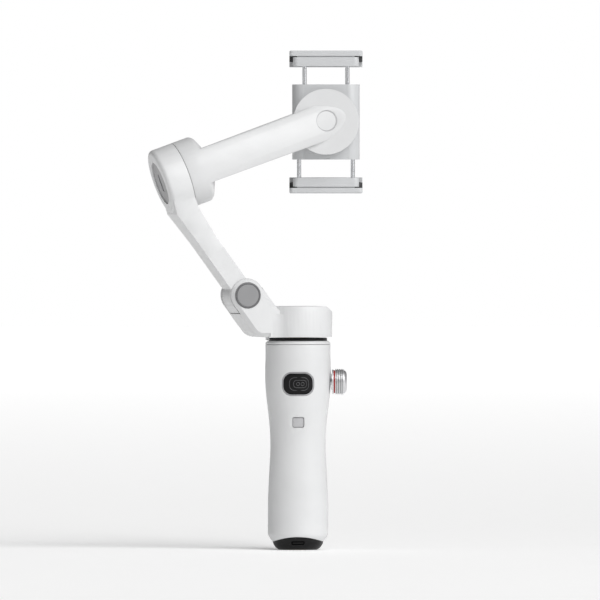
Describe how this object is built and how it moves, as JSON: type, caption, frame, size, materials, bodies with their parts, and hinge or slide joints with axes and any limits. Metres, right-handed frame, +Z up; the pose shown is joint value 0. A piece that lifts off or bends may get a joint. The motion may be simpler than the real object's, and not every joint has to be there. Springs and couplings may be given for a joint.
{
  "type": "phone gimbal stabilizer",
  "caption": "Hand-held phone stabilizer: contoured grip with trigger and side wheel, pan, tilt and roll motors on a folding arm, and a sprung sliding clamp.",
  "frame": {"origin": "mouth of the tripod thread, in the middle of the handle's flat base", "axes": "+Z up along the handle and the pan axis, -Y towards the subject and the trigger, +X towards the side wheel"},
  "size_m": [0.128, 0.0619, 0.2978],
  "materials": {
    "white_casing": "satin",
    "black_plastic": "satin",
    "bezel_grey": "satin",
    "cap_grey": "satin",
    "clamp_grey": "satin",
    "rubber_pad": "matte",
    "wheel_silver": "satin",
    "wheel_red": "gloss",
    "badge_grey": "gloss",
    "rod_steel": "satin",
    "bearing_steel": "satin",
    "insert_brass": "satin",
    "magnet_iron": "satin",
    "stator_iron": "satin",
    "battery_wrap": "gloss",
    "board_green": "satin",
    "flex_amber": "satin",
    "light_guide": "gloss"
  },
  "bodies": {
    "handle": {"handle_front_shell": "white_casing", "handle_rear_shell": "white_casing", "handle_top_collar": "white_casing", "base_cap": "black_plastic", "tripod_insert": "insert_brass", "usb_port": "rod_steel", "battery_cell": "battery_wrap", "main_board": "board_green", "handle_screws": "rod_steel", "trigger_bezel": "bezel_grey", "control_panel": "black_plastic", "status_lights": "light_guide", "joystick_base": "black_plastic", "pan_seal_ring": "black_plastic", "pan_stator": "stator_iron", "pan_bearings": "bearing_steel"},
    "trigger": {"trigger": "black_plastic"},
    "function_button": {"function_button": "bezel_grey"},
    "focus_wheel": {"focus_wheel": "wheel_silver", "focus_wheel_ring": "wheel_red", "wheel_shaft": "rod_steel"},
    "joystick_yoke": {"joystick_yoke": "black_plastic"},
    "joystick": {"joystick_cap": "black_plastic"},
    "record_button": {"record_button": "wheel_red"},
    "mode_button": {"mode_button": "black_plastic"},
    "pan_arm": {"pan_housing": "white_casing", "pan_top_cover": "white_casing", "pan_rotor": "magnet_iron", "pan_shaft": "rod_steel", "hinge_pin": "rod_steel", "hinge_caps": "cap_grey", "hinge_washers": "rod_steel"},
    "upper_arm": {"upper_arm_shell": "white_casing", "upper_arm_cover": "white_casing", "arm_flex_cable": "flex_amber", "tilt_housing": "white_casing", "tilt_end_cap": "cap_grey", "tilt_stator": "stator_iron", "tilt_bearings": "bearing_steel"},
    "roll_arm": {"tilt_rotor": "magnet_iron", "tilt_shaft": "rod_steel", "roll_arm_shell": "white_casing", "roll_arm_cover": "white_casing", "roll_badge": "badge_grey", "roll_stator": "stator_iron", "roll_bearings": "bearing_steel"},
    "clamp": {"roll_rotor": "magnet_iron", "roll_shaft": "rod_steel", "clamp_base_shell": "clamp_grey", "clamp_cover": "clamp_grey", "clamp_pad": "rubber_pad", "clamp_spring": "rod_steel"},
    "upper_jaw": {"upper_jaw": "clamp_grey", "upper_jaw_pad": "rubber_pad", "upper_slide_frame": "rod_steel"},
    "lower_jaw": {"lower_jaw": "clamp_grey", "lower_jaw_pad": "rubber_pad", "lower_slide_frame": "rod_steel"},
    "sync_pinion": {"sync_pinion": "insert_brass"}
  },
  "joints": [
    {"name": "pan", "type": "hinge", "parent": "handle", "child": "pan_arm", "pos_m": [0, 0, 0.13], "axis": [0, 0, 1], "range_deg": [-161, 173]},
    {"name": "fold_hinge", "type": "hinge", "parent": "pan_arm", "child": "upper_arm", "pos_m": [-0.03303, -0.00763, 0.1518], "axis": [0.225, -0.9744, 0], "range_deg": [0, 90]},
    {"name": "tilt", "type": "hinge", "parent": "upper_arm", "child": "roll_arm", "pos_m": [-0.06899, -0.01593, 0.2233], "axis": [0.9156, 0.2114, 0.342], "range_deg": [-101, 78]},
    {"name": "roll", "type": "hinge", "parent": "roll_arm", "child": "clamp", "pos_m": [0.0167, 0, 0.2552], "axis": [0, -1, 0], "range_deg": [-120, 211]},
    {"name": "clamp_slide", "type": "slide", "parent": "clamp", "child": "upper_jaw", "axis": [0, 0, 1], "range_m": [-0.0027, 0.0063], "deforming": ["clamp_spring"]},
    {"name": "lower_jaw_slide", "type": "slide", "parent": "clamp", "child": "lower_jaw", "axis": [0, 0, -1], "range_m": [-0.0027, 0.0063]},
    {"name": "pinion_spin", "type": "hinge", "parent": "clamp", "child": "sync_pinion", "pos_m": [0.0167, 0, 0.2552], "axis": [0, -1, 0], "range_deg": [-73, 73]},
    {"name": "trigger_press", "type": "slide", "parent": "handle", "child": "trigger", "axis": [0, 1, 0], "range_m": [0, 0.0015], "stiffness_N_per_m": 900, "springref_m": -0.001},
    {"name": "function_button_press", "type": "slide", "parent": "handle", "child": "function_button", "axis": [0, 1, 0], "range_m": [0, 0.0006], "stiffness_N_per_m": 1500, "springref_m": -0.0008},
    {"name": "focus_wheel_turn", "type": "hinge", "parent": "handle", "child": "focus_wheel", "pos_m": [0.02, 0, 0.1001], "axis": [1, 0, 0], "continuous": true},
    {"name": "joystick_up_down", "type": "hinge", "parent": "handle", "child": "joystick_yoke", "pos_m": [0, 0.014, 0.092], "axis": [1, 0, 0], "range_deg": [-14, 14], "stiffness_Nm_per_rad": 0.05},
    {"name": "joystick_left_right", "type": "hinge", "parent": "joystick_yoke", "child": "joystick", "pos_m": [0, 0.014, 0.092], "axis": [0, 0, 1], "range_deg": [-14, 14], "stiffness_Nm_per_rad": 0.05},
    {"name": "record_button_press", "type": "slide", "parent": "handle", "child": "record_button", "axis": [0, -1, 0], "range_m": [0, 0.0006], "stiffness_N_per_m": 1500, "springref_m": -0.0008},
    {"name": "mode_button_press", "type": "slide", "parent": "handle", "child": "mode_button", "axis": [0, -1, 0], "range_m": [0, 0.0005], "stiffness_N_per_m": 1500, "springref_m": -0.0008}
  ],
  "couplings": [
    {"joint": "lower_jaw_slide", "follows": "clamp_slide", "ratio": 1},
    {"joint": "pinion_spin", "follows": "clamp_slide", "rad_per_m": 200}
  ]
}
